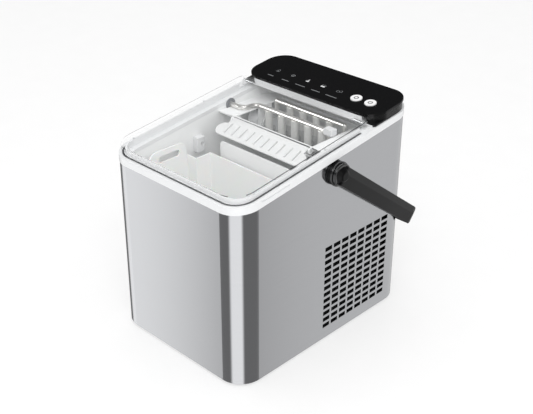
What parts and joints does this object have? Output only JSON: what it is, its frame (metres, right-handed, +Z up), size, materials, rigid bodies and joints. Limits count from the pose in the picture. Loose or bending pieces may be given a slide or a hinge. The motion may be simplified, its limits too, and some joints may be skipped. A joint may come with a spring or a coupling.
{
  "type": "countertop ice maker",
  "caption": "Countertop ice maker: brushed steel cabinet with side vents, clear hinged lid over an ice bin and freezing unit, black control panel behind it, and a swinging carry handle.",
  "frame": {"origin": "middle of the overall footprint with the handle stowed, on the surface the feet stand on", "axes": "+X to the right seen from the front, +Y to the rear where the control panel is, +Z up"},
  "size_m": [0.253, 0.3232, 0.2886],
  "materials": {
    "brushed_steel": "horizontal brushed grain, satin",
    "white_plastic": "smooth, semi-gloss",
    "clear_plastic": "clear, polished",
    "milky_plastic": "translucent, smooth",
    "black_gloss": "black, high gloss",
    "black_satin": "black, satin",
    "button_white": "white, satin",
    "symbol_grey": "light grey print under a clear window",
    "rubber_black": "matte",
    "soft_clear": "soft, pale",
    "rear_grey": "dark grey powder coat",
    "zinc_sheet": "plain galvanised",
    "foam": "open foam",
    "nickel": "nickel plate",
    "bright_metal": "plated",
    "fin_metal": "plain fins",
    "copper": "bare copper",
    "compressor_black": "gloss black paint",
    "board_green": "varnished",
    "part_grey": "plain moulded"
  },
  "bodies": {
    "cabinet": {"steel_wrap": "brushed_steel", "rear_panel": "rear_grey", "base_pan": "zinc_sheet", "rubber_feet": "rubber_black", "top_frame": "white_plastic", "inner_liner": "white_plastic", "insulation": "foam", "bin_baffle": "white_plastic", "unit_deck": "white_plastic", "evaporator_tube": "nickel", "freezing_fingers": "nickel", "tube_end_block": "white_plastic", "tube_grommet": "black_satin", "sensor_emitter": "white_plastic", "sensor_receiver": "white_plastic", "tray_motor": "white_plastic", "hinge_posts": "white_plastic", "lid_bumpers": "soft_clear", "control_base": "black_gloss", "control_cover": "black_gloss", "indicator_lenses": "symbol_grey", "control_board": "board_green", "tact_switches": "part_grey", "pivot_bosses": "black_satin", "pivot_nuts": "bright_metal", "water_pump": "part_grey", "pump_hose": "milky_plastic", "water_spout": "white_plastic", "drain_spout": "white_plastic", "compressor": "compressor_black", "compressor_mounts": "rubber_black", "condenser": "fin_metal", "fan_shroud": "black_satin", "fan_motor": "compressor_black", "filter_drier": "copper", "discharge_line": "copper", "suction_line": "copper", "hot_gas_valve": "copper", "power_inlet": "black_satin", "inlet_screws": "bright_metal", "power_board": "board_green", "rear_screws": "bright_metal", "base_screws": "bright_metal"},
    "lid": {"lid": "clear_plastic", "lid_hinge_pins": "bright_metal"},
    "handle": {"handle": "black_satin", "handle_collars": "black_satin"},
    "basket": {"ice_basket": "white_plastic"},
    "tray": {"water_tray": "milky_plastic"},
    "shovel": {"ice_shovel": "white_plastic"},
    "button_mode": {"button_mode": "button_white"},
    "button_power": {"button_power": "button_white"},
    "fan": {"fan_blade": "black_satin"},
    "drain_plug": {"drain_plug": "black_satin"}
  },
  "joints": [
    {"name": "lid_hinge", "type": "hinge", "parent": "cabinet", "child": "lid", "pos_m": [0, 0.05753, 0.27315], "axis": [-1, 0, 0], "range_deg": [0, 95]},
    {"name": "handle_swing", "type": "hinge", "parent": "cabinet", "child": "handle", "pos_m": [0, -0.00297, 0.2327], "axis": [1, 0, 0], "range_deg": [0, 127]},
    {"name": "basket_lift", "type": "slide", "parent": "cabinet", "child": "basket", "axis": [0, 0, 1], "range_m": [0, 0.012]},
    {"name": "tray_tip", "type": "hinge", "parent": "cabinet", "child": "tray", "pos_m": [0, 0.06003, 0.22404], "axis": [1, 0, 0], "range_deg": [0, 70]},
    {"name": "shovel_swing", "type": "hinge", "parent": "cabinet", "child": "shovel", "pos_m": [0, 0.00203, 0.24414], "axis": [1, 0, 0], "range_deg": [0, 50]},
    {"name": "mode_press", "type": "slide", "parent": "cabinet", "child": "button_mode", "axis": [0, 0.1219, -0.9925], "range_m": [0, 0.0008], "stiffness_N_per_m": 400},
    {"name": "power_press", "type": "slide", "parent": "cabinet", "child": "button_power", "axis": [0, 0.1219, -0.9925], "range_m": [0, 0.0008], "stiffness_N_per_m": 400},
    {"name": "fan_spin", "type": "hinge", "parent": "cabinet", "child": "fan", "pos_m": [0.0752, 0.0424, 0.08352], "axis": [1, 0, 0], "continuous": true},
    {"name": "plug_pull", "type": "slide", "parent": "cabinet", "child": "drain_plug", "axis": [0, 1, 0], "range_m": [0, 0.013]}
  ],
  "couplings": [
    {"joint": "shovel_swing", "follows": "tray_tip", "ratio": 0.71429}
  ]
}
